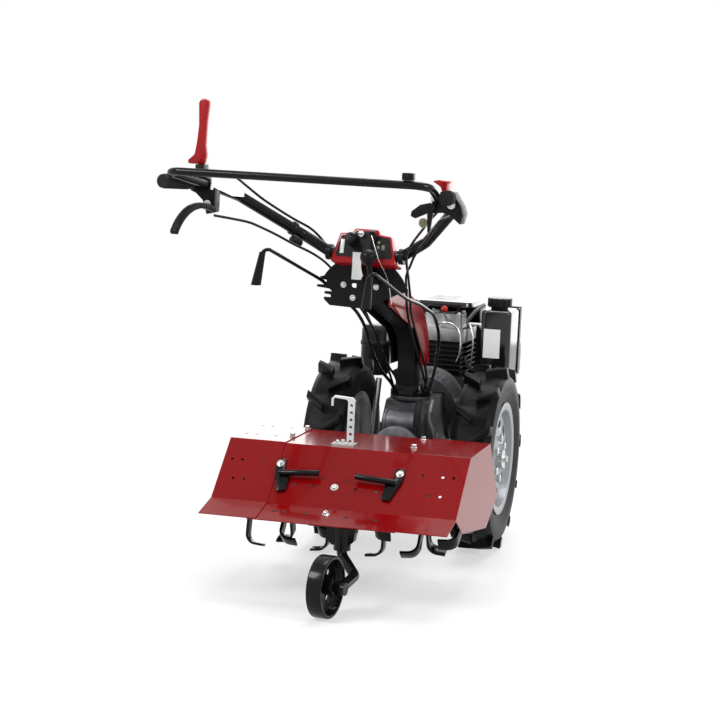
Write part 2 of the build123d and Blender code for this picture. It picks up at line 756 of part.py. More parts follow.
# Zinc plates along the tubes that hold the ends of the safety bar
with BuildPart() as loop_brackets:
    along = Vector(-21, 172, 0).normalized()
    inner = Vector(-along.Y, along.X, 0)
    with BuildSketch(Plane(origin=(306, -944, 0), x_dir=along, z_dir=-inner)):
        with BuildLine():
            Polyline((-8, 1090), (-8, 1122), (60, 1110), (172, 1082), (172, 1066), (110, 1070),
                     (40, 1088), close=True)
        make_face()
    extrude(amount=-4)
    with BuildSketch(Plane(origin=Vector(306, -944, 1076) + along * 158, z_dir=-inner)):
        Circle(6)
    extrude(amount=16)
    mirror(about=Plane.YZ)
    add(bar.part, mode=Mode.SUBTRACT)
    add(loop.part, mode=Mode.SUBTRACT)
save(loop_brackets, "loop_brackets", SWUNG)

# Head of the column: a block across its end and the arm that holds the middle of the tube
GATE_Y = -496.0
with BuildPart() as head_bracket:
    with BuildSketch(Plane.XZ.offset(-GATE_Y)):
        with BuildLine():
            Polyline((-42, 772), (42, 788), (42, 866), (-42, 866), close=True)
        make_face()
    extrude(amount=-24)
    with BuildSketch(Plane.YZ.offset(-16)):
        with BuildLine():
            Polyline((-474, 812), (-498, 826), (-562, 896), (-562, 930), (-538, 936), (-474, 866),
                     close=True)
        make_face()
    extrude(amount=32)
    add(column.part, mode=Mode.SUBTRACT)
    add(bar.part, mode=Mode.SUBTRACT)
save(head_bracket, "head_bracket", SWUNG)

# Console over the tube: a red housing whose face leans forward, and the dark panel on it
FACE = Plane(origin=(0, -576, 888), x_dir=(1, 0, 0), z_dir=(0, -cos(radians(14)), sin(radians(14))))
with BuildPart() as console:
    with BuildSketch(FACE):
        with BuildLine():
            Polyline((-97, 2), (98, 2), (92, 22), (73, 84), (40, 88), (34, 101), (-34, 101), (-41, 88),
                     (-76, 86), close=True)
        make_face()
        fillet(vertices(), 7)
    extrude(amount=-62)
    chamfer(console.faces().sort_by(Axis.Y)[0].outer_wire().edges(), 3)
    add(bar.part, mode=Mode.SUBTRACT)
    add(head_bracket.part, mode=Mode.SUBTRACT)
save(console, "console_housing", SWUNG)

with BuildPart() as panel:
    with BuildSketch(FACE):
        with BuildLine():
            Polyline((-83, 20), (83, 20), (70, 78), (33, 81), (28, 93), (-28, 93), (-34, 81), (-69, 78),
                     close=True)
        make_face()
        fillet(vertices(), 6)
    extrude(amount=3)
save(panel, "console_panel", SWUNG)

with BuildPart() as collars:
    for side in (-1, 1):
        with BuildSketch(Plane.YZ.offset(side * 99)):
            with Locations(BAR_ROUTE[0][1:]):
                Circle(22)
        extrude(amount=side * 15)
    add(bar.part, mode=Mode.SUBTRACT)
save(collars, "bar_collars", SWUNG)

# Gate plate: a dome behind the console, fingers on its left edge and a skirt that the selectors pass
with BuildPart() as gate:
    with BuildSketch(Plane.XZ.offset(-GATE_Y)):
        with BuildLine():
            Polyline((104, 832), (112, 820), (112, 811), (92, 809), (43, 784), (-20, 757), (-118, 760),
                     (-136, 776), (-136, 783), (-116, 783), (-116, 790), (-135, 792), (-135, 799),
                     (-112, 800), (-112, 806), (-158, 810), (-158, 817), (-130, 818), (-130, 831),
                     (-150, 833), (-150, 840), (-138, 843))
            ThreePointArc((-138, 843), (-21, 909), (104, 832))
        make_face()
        with Locations((-42, 821)):
            SlotOverall(26, 12, mode=Mode.SUBTRACT)
    extrude(amount=4)
    add(head_bracket.part, mode=Mode.SUBTRACT)
save(gate, "gate_plate", SWUNG)

# Selector levers: two black handgrips that hang from cranked rods
LEFT_ROD = [(-212, -817, 880), (-204, -816, 926), (-189, -812, 932), (-140, -525, 834), (-134, -480, 816),
            (-100, -455, 780), (-68, -420, 745), (-62, -354, 700), (-72, -256, 622), (-74, -156, 545),
            (-52, -96, 496), (-45, -88, 476)]
RIGHT_ROD = [(77, -746, 830), (78, -746, 872), (91, -740, 880), (108, -505, 795), (100, -350, 768),
             (72, -95, 712), (70, -20, 640), (60, -20, 540), (48, -36, 476)]
with BuildPart() as selectors:
    add(cable_along(LEFT_ROD, ROD_R).part)
    add(cable_along(RIGHT_ROD, ROD_R).part)
    add(turret.part, mode=Mode.SUBTRACT)
    add(gate.part, mode=Mode.SUBTRACT)
save(selectors, "selector_rods", SWUNG)

with BuildPart() as selector_grips:
    for x, y, low, high, lean in ((-206, -817, 833, 924, 14), (77, -746, 784, 871, 4)):
        with BuildSketch(Plane.XY.offset(low)):
            with Locations((x - lean, y)):
                Circle(14)
        with BuildSketch(Plane.XY.offset(high)):
            with Locations((x + 2, y)):
                Circle(8.5)
        loft()
    add(selectors.part, mode=Mode.SUBTRACT)
save(selector_grips, "selector_grips", SWUNG)

# Ball-ended lever in the middle, the zinc strap beside it and the slim throttle lever on the panel
BALL = (30, -616, 913)
with BuildPart() as knob:
    add(rod_along([(26, -500, 838), (26, -530, 838), (27, -580, 852), BALL], 8, 12).part)
    with BuildSketch(Plane(origin=BALL, x_dir=(1, 0, 0), z_dir=(0, -1, 0))):
        with BuildLine():
            CenterArc((0, 0), 23, 90, -180)
            Line((0, 23), (0, -23))
        make_face()
    revolve(axis=Axis(BALL, (0, 0, 1)))
save(knob, "knob_lever", SWUNG)

with BuildPart() as strap:
    with BuildSketch(Plane.XZ.offset(582)):
        with BuildLine():
            Polyline((-27, 846), (0, 846), (6, 858), (0, 880), (-1, 922), (-26, 922), (-26, 880),
                     close=True)
        make_face()
    extrude(amount=4)
    with BuildSketch(Plane.XZ.offset(582)):
        with Locations((-22, 848)):
            Rectangle(10, 4)
    extrude(amount=-82)
save(strap, "strap_lever", SWUNG)

with BuildPart() as throttle:
    foot = FACE.from_local_coords((24, 46, 3))
    tip = FACE.from_local_coords((27, 92, 26))
    with BuildSketch(Plane(origin=foot, z_dir=tip - foot)):
        Circle(4)
    with BuildSketch(Plane(origin=tip, z_dir=tip - foot)):
        Circle(7)
    loft()
    add(panel.part, mode=Mode.SUBTRACT)
    add(console.part, mode=Mode.SUBTRACT)
save(throttle, "throttle_lever", SWUNG)

# Clamps at the grips, each with the hand lever's pivot, and on the left the ear that holds the red lever
with BuildPart() as clamps:
    with BuildSketch(Plane.XZ.offset(905)):
        with BuildLine():
            Polyline((-368, 1085), (-368, 1122), (-358, 1124), (-356, 1154), (-334, 1154), (-332, 1124),
                     (-308, 1114), (-298, 1088), (-298, 1030), (-320, 1024), (-332, 1060), (-352, 1078),
                     close=True)
        make_face()
    extrude(amount=36)
    with BuildSketch(Plane.XZ.offset(885)):
        with BuildLine():
            Polyline((318, 1100), (322, 1120), (354, 1120), (378, 1084), (384, 1064), (377, 1039),
                     (351, 1060), (330, 1066), (296, 1062), (292, 1088), close=True)
        make_face()
    extrude(amount=46)
    add(bar.part, mode=Mode.SUBTRACT)
    add(loop.part, mode=Mode.SUBTRACT)
    add(loop_brackets.part, mode=Mode.SUBTRACT)
    with BuildSketch(Plane.XZ.offset(LOOP_Y * -1 - 9)):
        with Locations((302, LOOP_Z + 20.5)):
            RectangleRounded(29, 19, 4)
    extrude(amount=18)
save(clamps, "lever_clamps", SWUNG)

with BuildPart() as red_levers:
    with BuildSketch(Plane.XZ.offset(906)):
        with BuildLine():
            Polyline((-331, 1316), (-336, 1265), (-338, 1205), (-334, 1177), (-340, 1154), (-385, 1154),
                     (-387, 1164), (-368, 1180), (-362, 1216), (-358, 1257), (-360, 1316))
            ThreePointArc((-360, 1316), (-346, 1328), (-331, 1316))
        make_face()
    extrude(amount=20)
    with BuildSketch(Plane.XZ.offset(878)):
        with BuildLine():
            Polyline((299, 1146), (316, 1150), (343, 1148), (338, 1141), (339, 1120), (325, 1120),
                     (322, 1132), close=True)
        make_face()
    extrude(amount=58)
save(red_levers, "red_levers", SWUNG)

# Hand levers: the left one is curved and runs under the grip, the right ones are short blades
LEVER = Plane(origin=(-306, -941, 1037), x_dir=(-0.21, -0.978, 0), z_dir=(-0.978, 0.21, 0))
with BuildPart() as hand_levers:
    with BuildSketch(LEVER):
        with BuildLine():
            ThreePointArc((0, 0), (72, 11), (164, -52))
        trace(line_width=15)
        with Locations((164, -52)):
            Circle(8)
    extrude(amount=8.5, both=True)
    with BuildSketch(Plane.XZ.offset(931)):
        with BuildLine():
            Polyline((312, 1094), (272, 1084), (249, 1066), (247, 1053), (260, 1048), (290, 1062),
                     (312, 1074), close=True)
        make_face()
        fillet(vertices(), 4)
        with BuildLine():
            Polyline((290, 1080), (308, 1080), (300, 1014), (294, 1014), close=True)
        make_face()
    extrude(amount=8)
    add(clamps.part, mode=Mode.SUBTRACT)
    add(loop_brackets.part, mode=Mode.SUBTRACT)
save(hand_levers, "hand_levers", SWUNG)

# Cables, held along the tubes and down the left and right of the column to the turret
LEFT_LOW = [(-296, -945, 1022), (-262, -905, 1014), (-224, -868, 1005), (-190, -770, 972),
            (-163, -690, 940), (-146, -600, 915), (-132, -520, 886), (-112, -455, 842),
            (-84, -400, 780), (-62, -330, 716), (-56, -250, 655), (-54, -170, 580), (-53, -118, 530),
            (-52, -66, 476)]
LEFT_HIGH = [(-312, -903, 1124), (-300, -860, 1132), (-296, -800, 1120), (-284, -735, 1090),
             (-262, -690, 1060), (-228, -640, 1028), (-192, -600, 1000), (-160, -560, 978),
             (-136, -515, 940), (-122, -470, 886), (-92, -420, 822), (-72, -345, 752), (-66, -255, 676),
             (-64, -180, 606), (-60, -110, 548), (-50, -60, 510), (-48, -42, 476)]
RIGHT_HIGH = [(340, -884, 1058), (322, -850, 1050), (286, -800, 1040), (252, -742, 1010),
              (210, -690, 966), (170, -640, 930), (140, -580, 892), (114, -520, 872), (98, -480, 852),
              (86, -430, 812), (72, -380, 768), (58, -310, 716), (54, -240, 650), (54, -160, 572),
              (52, -104, 520), (51, -58, 476)]
RIGHT_LOW = [(300, -884, 1062), (272, -850, 1040), (238, -800, 1010), (196, -740, 974), (160, -680, 938),
             (136, -600, 896), (119, -525, 862), (108, -480, 836), (92, -410, 794), (76, -350, 746),
             (68, -280, 692), (66, -210, 628), (65, -140, 560), (62, -106, 516), (46, -84, 476)]
with BuildPart() as cables:
    for cable_points in (LEFT_LOW, LEFT_HIGH, RIGHT_HIGH, RIGHT_LOW):
        add(cable_along(cable_points, CABLE_R).part)
    add(turret.part, mode=Mode.SUBTRACT)
    add(clamps.part, mode=Mode.SUBTRACT)
save(cables, "handlebar_cables", SWUNG)
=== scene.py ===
# %% [markdown]
# A walking tractor stands on two farm tyres, with a tilling hood behind it and long handlebars above.
# The CAD model already holds every working piece at its real size, so this lesson dresses it: it
# softens edges, gives each piece its paint, rubber or metal, and adds bolts, hoses and small trim.

# %% Load the CAD frame
import json
from math import cos, radians, sin
import bpy
from mathutils import Matrix, Vector


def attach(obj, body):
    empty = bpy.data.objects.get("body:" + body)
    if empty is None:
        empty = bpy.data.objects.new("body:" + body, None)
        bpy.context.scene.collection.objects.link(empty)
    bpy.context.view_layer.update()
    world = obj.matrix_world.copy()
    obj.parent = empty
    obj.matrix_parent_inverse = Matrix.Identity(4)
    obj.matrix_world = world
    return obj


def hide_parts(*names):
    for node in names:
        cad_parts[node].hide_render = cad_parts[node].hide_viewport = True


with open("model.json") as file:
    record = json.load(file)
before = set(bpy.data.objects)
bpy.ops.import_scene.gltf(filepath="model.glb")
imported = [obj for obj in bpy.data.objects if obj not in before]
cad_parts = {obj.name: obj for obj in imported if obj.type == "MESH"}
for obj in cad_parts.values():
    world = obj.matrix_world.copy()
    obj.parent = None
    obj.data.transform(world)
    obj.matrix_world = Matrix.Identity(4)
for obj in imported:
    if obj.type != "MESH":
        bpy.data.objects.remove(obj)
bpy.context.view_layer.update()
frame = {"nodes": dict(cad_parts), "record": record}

# %% [markdown]
# The drawing has its own frame: the axle stands over Y = 0 and lengths are in millimetres.
# A drawing point is moved to the centre of the machine and turned into metres.
# Handlebar points are also swung to the left about the turret, as the machine is parked.

# %% Turn drawing points into scene points
CENTRE = Vector((-73.25, -325.0, 0))
SWING = Matrix.Rotation(radians(-4.1), 3, "Z")
TURRET = Vector((0, -60, 0))
AXLE_HEIGHT = 280


def at(x, y, z):
    return (Vector((x, y, z)) - CENTRE) / 1000


def swung(x, y, z):
    return (SWING @ (Vector((x, y, z)) - TURRET) + TURRET - CENTRE) / 1000


print("turret", tuple(swung(0, -60, 462)))

# %% [markdown]
# A finish is one Principled shader. Its small unevenness comes from noise on Object coordinates,
# which stay with the piece when it moves. Noise could be painted or baked, but nodes stay sharp at any size.

# %% Make a finish
def finish(name, colour, roughness, metallic=0.0, coat=0.0):
    made = bpy.data.materials.new(name)
    made.use_nodes = True
    shader = made.node_tree.nodes["Principled BSDF"]
    shader.inputs["Base Color"].default_value = (*colour, 1)
    shader.inputs["Roughness"].default_value = roughness
    shader.inputs["Metallic"].default_value = metallic
    shader.inputs["Coat Weight"].default_value = coat
    shader.inputs["Coat Roughness"].default_value = 0.06
    print("finish", name)
    return made


# %% [markdown]
# Noise does two jobs. As a height it gives the grain of a sand casting, a powder coat or moulded plastic.
# As a blend between two near colours it takes away the flat, drawn look of a single one.

# %% Give a finish its grain and its second shade
def noise_on(made, scale, detail=4.0):
    nodes = made.node_tree.nodes
    place = nodes.new("ShaderNodeTexCoord")
    noise = nodes.new("ShaderNodeTexNoise")
    noise.inputs["Scale"].default_value = scale
    noise.inputs["Detail"].default_value = detail
    made.node_tree.links.new(place.outputs["Object"], noise.inputs["Vector"])
    return noise


def grain(made, scale, strength, depth=0.001):
    nodes = made.node_tree.nodes
    noise = noise_on(made, scale)
    bump = nodes.new("ShaderNodeBump")
    bump.inputs["Strength"].default_value = strength
    bump.inputs["Distance"].default_value = depth
    made.node_tree.links.new(noise.outputs["Fac"], bump.inputs["Height"])
    made.node_tree.links.new(bump.outputs["Normal"], nodes["Principled BSDF"].inputs["Normal"])


def mottle(made, other, scale, low=0.4, high=0.65):
    nodes = made.node_tree.nodes
    noise = noise_on(made, scale, 6.0)
    spread = nodes.new("ShaderNodeMapRange")
    spread.inputs["From Min"].default_value = low
    spread.inputs["From Max"].default_value = high
    mix = nodes.new("ShaderNodeMix")
    mix.data_type = "RGBA"
    mix.inputs[6].default_value = nodes["Principled BSDF"].inputs["Base Color"].default_value
    mix.inputs[7].default_value = (*other, 1)
    made.node_tree.links.new(noise.outputs["Fac"], spread.inputs["Value"])
    made.node_tree.links.new(spread.outputs["Result"], mix.inputs[0])
    made.node_tree.links.new(mix.outputs[2], nodes["Principled BSDF"].inputs["Base Color"])


# %% [markdown]
# Paint: the hood and its wings are glossy red enamel, the bars black gloss, the sheets powder-coated.
# The enamel has a thin clear coat, so that it shines at a low angle and stays deep red from above.

# %% Paints
red_paint = finish("red enamel", (0.21, 0.001, 0.002), 0.20, coat=0.2)
mottle(red_paint, (0.19, 0.001, 0.002), 5.0)
black_steel = finish("black gloss paint", (0.004, 0.004, 0.005), 0.22, coat=0.1)
grain(black_steel, 600.0, 0.015)
black_sheet = finish("black powder coat", (0.008, 0.008, 0.009), 0.36)
grain(black_sheet, 1400.0, 0.18)
engine_black = finish("black engine paint", (0.012, 0.012, 0.013), 0.38)
grain(engine_black, 500.0, 0.3)
rim_silver = finish("silver wheel paint", (0.30, 0.315, 0.33), 0.36, metallic=0.4, coat=0.1)
grain(rim_silver, 1200.0, 0.06)

# %% [markdown]
# Metal: zinc on bolts and levers, sand-cast grey alloy on the gears, bare alloy on the engine.
# Castings get a coarse grain and two greys, because their skin is never even.

# %% Metals
zinc = finish("zinc plating", (0.66, 0.67, 0.66), 0.26, metallic=1.0)
mottle(zinc, (0.56, 0.57, 0.56), 14.0)
grey_casting = finish("grey cast alloy", (0.17, 0.17, 0.185), 0.46, metallic=0.55)
mottle(grey_casting, (0.10, 0.10, 0.11), 30.0)
grain(grey_casting, 700.0, 0.35)
grey_iron = finish("dark painted iron", (0.05, 0.05, 0.055), 0.45, metallic=0.3)
grain(grey_iron, 500.0, 0.3)
engine_alloy = finish("bare engine alloy", (0.34, 0.34, 0.345), 0.40, metallic=0.6)
mottle(engine_alloy, (0.20, 0.20, 0.205), 26.0)
grain(engine_alloy, 650.0, 0.35)
dark_casting = finish("dark grey casting", (0.045, 0.045, 0.05), 0.44, metallic=0.4)
mottle(dark_casting, (0.025, 0.025, 0.028), 24.0)
grain(dark_casting, 600.0, 0.4)

# %% [markdown]
# Plastic and rubber: the console and the levers are moulded red, the tank is glossy black,
# the tyres are dull. Two more finishes serve the blank label and the shade inside a slot.

# %% Plastics, rubbers and the label
red_plastic = finish("red moulded plastic", (0.33, 0.003, 0.006), 0.22, coat=0.2)
grain(red_plastic, 900.0, 0.05)
black_plastic = finish("black moulded plastic", (0.008, 0.008, 0.009), 0.32)
grain(black_plastic, 1100.0, 0.12)
tank_plastic = finish("glossy tank plastic", (0.007, 0.007, 0.008), 0.14)
black_rubber = finish("black grip rubber", (0.016, 0.016, 0.017), 0.62)
grain(black_rubber, 700.0, 0.2)
tyre_rubber = finish("tyre rubber", (0.003, 0.003, 0.0035), 0.40)
mottle(tyre_rubber, (0.006, 0.006, 0.006), 22.0)
grain(tyre_rubber, 420.0, 0.22)
label_white = finish("blank white label", (0.80, 0.80, 0.79), 0.30)
olive_cap = finish("olive plastic cap", (0.16, 0.15, 0.08), 0.45)
painted_slot_shade = finish("shade inside a slot", (0.012, 0.004, 0.005), 0.9)

# %% [markdown]
# A plain shader mirrors a white studio so strongly that black turns grey. Real rubber and powder coat
# scatter most of that light, so their mirror share is set lower on the shader's own socket.

# %% Lower the shine of dark finishes
for dull, shine in ((tyre_rubber, 0.07), (black_rubber, 0.12), (black_sheet, 0.12), (black_plastic, 0.12),
                    (black_steel, 0.12), (red_paint, 0.10), (red_plastic, 0.2),
                    (engine_black, 0.15), (rim_silver, 0.3)):
    dull.node_tree.nodes["Principled BSDF"].inputs["Specular IOR Level"].default_value = shine
    print(dull.name, "shine", shine)

# %% [markdown]
# The record says which finish each CAD piece has and which body carries it. A few pieces differ
# from the others of their slot, such as the glossy tank among the dull plastics.

# %% Paint the CAD pieces
FINISHES = {
    "red_paint": red_paint, "red_plastic": red_plastic, "black_steel": black_steel,
    "black_sheet": black_sheet, "black_plastic": black_plastic, "black_rubber": black_rubber,
    "tyre_rubber": tyre_rubber, "rim_silver": rim_silver, "zinc": zinc,
    "grey_casting": grey_casting, "grey_iron": grey_iron, "engine_alloy": engine_alloy,
}
OTHER_FINISHES = {
    "fuel_tank": tank_plastic, "top_cowl": tank_plastic, "column": black_sheet,
    "engine_cylinder": engine_black, "engine_crankcase": engine_black,
    "transmission_case": dark_casting, "clutch_housing": dark_casting,
}

body_of_node = {}
for body_name, held in frame["record"]["behaviour"]["bodies"].items():
    for node_name in held:
        body_of_node[node_name] = body_name
finish_of_node = {}
for subpart in frame["record"]["subparts"]:
    node_name = subpart["node"]
    paint = OTHER_FINISHES.get(node_name, FINISHES[subpart["material_slot"]])
    finish_of_node[node_name] = paint
    mesh = frame["nodes"][node_name].data
    mesh.materials.clear()
    mesh.materials.append(paint)
print("painted", len(finish_of_node), "pieces")

# %% [markdown]
# Every piece below is finished in the same way: its place goes into its mesh, it gets its paint,
# it is shaded smooth up to an angle, and it rides on the body that carries it.

# %% Helpers to select and finish a piece
def clear():
    if bpy.context.mode != "OBJECT":
        bpy.ops.object.mode_set(mode="OBJECT")
    bpy.ops.object.select_all(action="DESELECT")


def pick(piece):
    clear()
    piece.select_set(True)
    bpy.context.view_layer.objects.active = piece


def settle(piece, name, paint, body, angle=35):
    pick(piece)
    bpy.ops.object.transform_apply(location=True, rotation=True, scale=True)
    piece.name = name
    piece.data.materials.clear()
    piece.data.materials.append(paint)
    bpy.ops.object.shade_smooth_by_angle(angle=radians(angle))
    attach(piece, body)
    print(name, "on", body, "with", len(piece.data.polygons), "faces")
    return piece


def soft_edge(piece, width, steps):
    edge = piece.modifiers.new("Edge", "BEVEL")
    edge.width = width
    edge.segments = steps
    edge.limit_method = "ANGLE"
    edge.angle_limit = radians(30)
    bpy.ops.object.modifier_apply(modifier=edge.name)


# %% [markdown]
# No real casting, moulding or folded sheet has knife edges: light runs along a small radius.
# The CAD mesh is left alone. A copy is merged, its flat triangles are joined, and a bevel rounds
# each sharp edge by the width that the real piece would have. The copy then stands for the node.

# %% Round the edges of the CAD pieces
def rounded(node_name, width):
    part = frame["nodes"][node_name]
    copy = part.copy()
    copy.data = part.data.copy()
    bpy.context.collection.objects.link(copy)
    place = part.matrix_world.copy()
    copy.parent = None
    copy.matrix_world = place
    pick(copy)
    bpy.ops.mesh.customdata_custom_splitnormals_clear()
    bpy.ops.object.mode_set(mode="EDIT")
    bpy.ops.mesh.select_all(action="SELECT")
    bpy.ops.mesh.remove_doubles(threshold=0.00002)
    bpy.ops.mesh.dissolve_limited(angle_limit=radians(1))
    bpy.ops.object.mode_set(mode="OBJECT")
    soft_edge(copy, width, 2)
    settle(copy, node_name + "_soft", finish_of_node[node_name], body_of_node[node_name])
    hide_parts(node_name)


SOFT = {
    "transmission_case": 0.004, "clutch_housing": 0.003, "engine_crankcase": 0.004,
    "cylinder_head": 0.004, "engine_cylinder": 0.0012, "fan_shroud": 0.006, "recoil_starter": 0.003,
    "muffler": 0.003, "top_cowl": 0.002, "air_cleaner": 0.003, "intake_duct": 0.003,
    "fuel_tank": 0.006, "tank_cap": 0.002, "implement_coupling": 0.003, "tiller_gear_case": 0.003,
    "console_housing": 0.004, "red_levers": 0.005, "lever_clamps": 0.003,
    "hand_levers": 0.0025, "selector_grips": 0.003, "head_bracket": 0.002, "hood_latches": 0.0015,
    "tyre_left": 0.003, "tyre_right": 0.003, "rim_left": 0.0012, "rim_right": 0.0012,
    "depth_wheel": 0.0015, "tiller_rotor": 0.001, "column": 0.004, "turret": 0.002,
}
for node_name, width in SOFT.items():
    rounded(node_name, width)
print("rounded", len(SOFT), "pieces")

# %% [markdown]
# The cover over the column is red. Its left side lies in shadow, so there it is painted black as painted
# shade. Two meshes could do that, but two materials on one mesh need no new piece: a face left of the bars'
# middle takes the second.
# The faces are long triangles, so the seam runs in small steps from one to the next.

# %% Paint the left half of the column cover black as painted shade
cover = frame["nodes"]["column_cover"].data
# The black powder coat is the second material, used as painted shade on the cover's left side
cover.materials.append(black_sheet)
for face in cover.polygons:
    straight = SWING.inverted() @ (face.center * 1000 + CENTRE - TURRET)
    # Faces left of the bars' middle get the painted shade
    if straight.x < 0:
        face.material_index = 1
print("black faces", sum(face.material_index for face in cover.polygons), "of", len(cover.polygons))

# %% [markdown]
# The real gear casting is narrow under the turret and wide at the axle, so light passes on its left.
# The upper corners of the casting are drawn in towards the middle, which gives it tapered sides.

# %% Taper the gear casting
NARROW_HALF = 0.064
TAPER_FOOT = 0.27
TAPER_HEIGHT = 0.12

casting = bpy.data.objects["transmission_case_soft"]
middle = at(0, 0, 0).x
for corner in casting.data.vertices:
    aside = corner.co.x - middle
    high = min(max((corner.co.z - TAPER_FOOT) / TAPER_HEIGHT, 0.0), 1.0)
    if abs(aside) > NARROW_HALF:
        corner.co.x = middle + aside * (1 - high * (1 - NARROW_HALF / abs(aside)))

# %% [markdown]
# Bolts hold the sheets, wheels and castings. A hex head with a chamfered rim on a washer reads as a bolt
# at any distance. The head is a six-sided cylinder whose top is inset twice, up for the chamfer and
# down for the shallow dish.

# %% Model a bolt
def hex_bolt(across, height, washer):
    clear()
    bpy.ops.mesh.primitive_cylinder_add(vertices=24, radius=washer, depth=0.0016, location=(0, 0, 0.0008))
    plain_washer = bpy.context.object
    bpy.ops.mesh.primitive_cylinder_add(vertices=6, radius=across / 1.732, depth=height,
                                        location=(0, 0, 0.0016 + height / 2))
    head = bpy.context.object
    bpy.ops.object.mode_set(mode="EDIT")
    bpy.ops.mesh.select_all(action="DESELECT")
    bpy.ops.object.mode_set(mode="OBJECT")
    for face in head.data.polygons:
        face.select = face.normal.z > 0.9
    bpy.ops.object.mode_set(mode="EDIT")
    bpy.ops.mesh.inset(thickness=across * 0.10, depth=height * 0.16)
    bpy.ops.mesh.inset(thickness=across * 0.10, depth=-height * 0.05)
    bpy.ops.object.mode_set(mode="OBJECT")
    pick(plain_washer)
    head.select_set(True)
    bpy.ops.object.join()
    return plain_washer


small_bolt = hex_bolt(0.010, 0.0055, 0.0085)
hood_bolt = hex_bolt(0.013, 0.007, 0.011)
wheel_bolt = hex_bolt(0.019, 0.010, 0.0125)
print("bolt patterns", small_bolt.name, hood_bolt.name, wheel_bolt.name)

# %% [markdown]
# One pattern is modelled per size and copied to each hole, each copy with its own mesh. The copies on
# one body are joined into one piece, which keeps the list of pieces short.

# %% Stand copies where they belong
def facing(point, normal):
    turn = Vector(normal).to_track_quat("Z", "Y").to_matrix().to_4x4()
    return Matrix.Translation(point) @ turn


def stand(pattern, point, normal, spin=0.0):
    copy = pattern.copy()
    copy.data = pattern.data.copy()
    bpy.context.collection.objects.link(copy)
    copy.matrix_world = facing(point, normal) @ Matrix.Rotation(spin, 4, "Z")
    return copy


def joined(copies, name, paint, body):
    for copy in copies:
        pick(copy)
        bpy.ops.object.transform_apply(location=True, rotation=True, scale=True)
    pick(copies[0])
    for copy in copies[1:]:
        copy.select_set(True)
    bpy.ops.object.join()
    return settle(copies[0], name, paint, body)


# %% [markdown]
# Each wheel is held by six bolts on a circle, with one more at the end of its shaft.
# They turn with the wheel, so they ride on its body.

# %% Wheel bolts
BOLT_CIRCLE = 62
DISC_FACE = 264
SHAFT_END = 282

for name, side in (("left", -1), ("right", 1)):
    ring = []
    for number in range(6):
        turn = radians(30 + 60 * number)
        spot = at(side * DISC_FACE, BOLT_CIRCLE * cos(turn), AXLE_HEIGHT + BOLT_CIRCLE * sin(turn))
        ring.append(stand(wheel_bolt, spot, (side, 0, 0), number))
    ring.append(stand(wheel_bolt, at(side * SHAFT_END, 0, AXLE_HEIGHT), (side, 0, 0), 0.2))
    joined(ring, f"wheel_bolts_{name}", zinc, f"{name}_wheel")

# %% [markdown]
# The hood's sheets are bolted to its frame: four bolts show on the top, three on the sloping panel
# and one on the lip. The depth bar's foot has two small ones. A point on the panel is given by
# how far down the slope it lies and how high it stands off.

# %% Bolts of the hood
PANEL_TOP_Y, PANEL_TOP_Z = -685, 389
RUN, DROP = 0.7393, 0.6734
PANEL_NORMAL = (0, -DROP, RUN)
LIP_NORMAL = (0, -0.223, 0.975)


def on_panel(x, down, lift):
    return at(x, PANEL_TOP_Y - RUN * down - DROP * lift, PANEL_TOP_Z - DROP * down + RUN * lift)


hood_copies = []
for x, y, z in ((-216, -580, 391.5), (-216, -430, 391.5), (129, -432, 389), (136, -580, 389)):
    hood_copies.append(stand(hood_bolt, at(x, y, z), (0, 0, 1), x))
for x, down, lift in ((-198, 80, 8.5), (140, 80, 8.5), (-32, 139, 0)):
    hood_copies.append(stand(hood_bolt, on_panel(x, down, lift), PANEL_NORMAL, x))
hood_copies.append(stand(hood_bolt, at(-29, -876, 238.2), LIP_NORMAL, 0.3))
joined(hood_copies, "hood_bolts", zinc, "chassis")

foot_copies = [stand(small_bolt, at(x, y, 395), (0, 0, 1), x) for x, y in ((-68, -640), (-56, -628))]
joined(foot_copies, "depth_bar_bolts", zinc, "chassis")

# %% [markdown]
# The slots along the lip are cut in the real sheet. Here they are thin ovals in painted shade, for the dark
# seen through each slot, that sit just over the sheet, because the CAD sheet is kept whole.

# %% Slots of the hood's lip
LIP_ANGLE = radians(12.9)

slots = []
for x in (-170, -143, -84, 30, 110):
    clear()
    bpy.ops.mesh.primitive_cylinder_add(vertices=20, radius=0.005, depth=0.0006)
    oval = bpy.context.object
    oval.scale = (1.5, 1, 1)
    pick(oval)
    bpy.ops.object.transform_apply(location=True, rotation=True, scale=True)
    oval.matrix_world = Matrix.Translation(at(x, -887, 235.9)) @ Matrix.Rotation(LIP_ANGLE, 4, "X")
    slots.append(oval)
# The ovals take the painted shade of a slot's inside
joined(slots, "lip_slots", painted_slot_shade, "chassis")

# %% [markdown]
# Each flange of the tilling shaft holds its blades by bolts. They are set round the shaft
# at the same stations as the blades and turn with it.

# %% Bolts of the tilling blades
ROTOR_X, ROTOR_Y, ROTOR_Z = -22, -560, 220
BLADE_CIRCLE = 46
FLANGE_HALF = 4

blade_copies = []
for station, first in ((-312, 12), (-198, 40), (-82, 0), (82, 5), (198, 35), (312, 60)):
    for number in range(6):
        turn = radians(first + 60 * number)
        y = ROTOR_Y + BLADE_CIRCLE * cos(turn + 0.5)
        z = ROTOR_Z + BLADE_CIRCLE * sin(turn + 0.5)
        for side in (-1, 1):
            spot = at(ROTOR_X + station + FLANGE_HALF * side, y, z)
            blade_copies.append(stand(small_bolt, spot, (side, 0, 0), turn))
joined(blade_copies, "blade_bolts", zinc, "rotor")

# %% [markdown]
# Bolts of the handlebars: three on the gate plate and those on the two zinc plates
# that hold the safety bar. They face backwards and swing with the bars.

